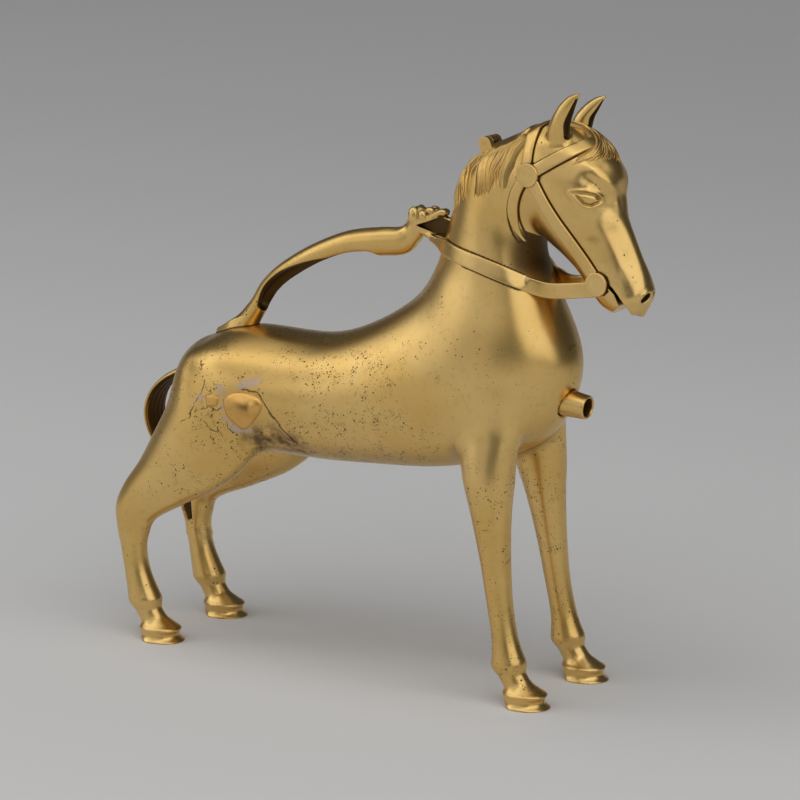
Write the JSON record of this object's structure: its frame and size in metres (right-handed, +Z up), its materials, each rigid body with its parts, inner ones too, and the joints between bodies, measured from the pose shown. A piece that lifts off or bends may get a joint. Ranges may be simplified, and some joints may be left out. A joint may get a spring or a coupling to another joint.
{
  "type": "horse aquamanile",
  "caption": "Hollow cast horse-shaped water pitcher with a beast handle, a breast spout, a bridle in relief and a hinged lid over the filling mouth.",
  "frame": {"origin": "middle of the bounding box in length and width, on the ground under the hooves", "axes": "+X towards the head, +Y towards the horse's left, +Z up"},
  "size_m": [0.3264, 0.0862, 0.3302],
  "materials": {
    "vessel_brass": "aged cast brass, polished high spots, dark pits",
    "strap_brass": "worn polished brass",
    "patch_brass": "yellower repair metal with grey solder at its edge",
    "pin_brass": "dark tarnished brass"
  },
  "bodies": {
    "vessel": {"trunk_shell": "vessel_brass", "neck_shell": "vessel_brass", "head_shell": "vessel_brass", "front_leg_right": "vessel_brass", "front_leg_left": "vessel_brass", "hind_leg_right": "vessel_brass", "hind_leg_left": "vessel_brass", "hind_left_shank": "vessel_brass", "ear_right": "vessel_brass", "ear_left": "vessel_brass", "mane": "vessel_brass", "forelock": "vessel_brass", "hinge_lugs": "vessel_brass", "hinge_pin": "pin_brass", "spout": "strap_brass", "handle": "vessel_brass", "tail": "vessel_brass", "browband": "strap_brass", "crownpiece": "strap_brass", "throatlatch": "strap_brass", "cheek_strap_right": "strap_brass", "cheek_strap_left": "strap_brass", "rein_right": "strap_brass", "rein_left": "strap_brass", "brow_rosettes": "strap_brass", "bit_rosettes": "strap_brass", "haunch_patches": "patch_brass"},
    "lid": {"lid": "vessel_brass"}
  },
  "joints": [
    {"name": "lid_hinge", "type": "hinge", "parent": "vessel", "child": "lid", "pos_m": [0.06416, 0, 0.29769], "axis": [0, -1, 0], "range_deg": [0, 110]}
  ]
}
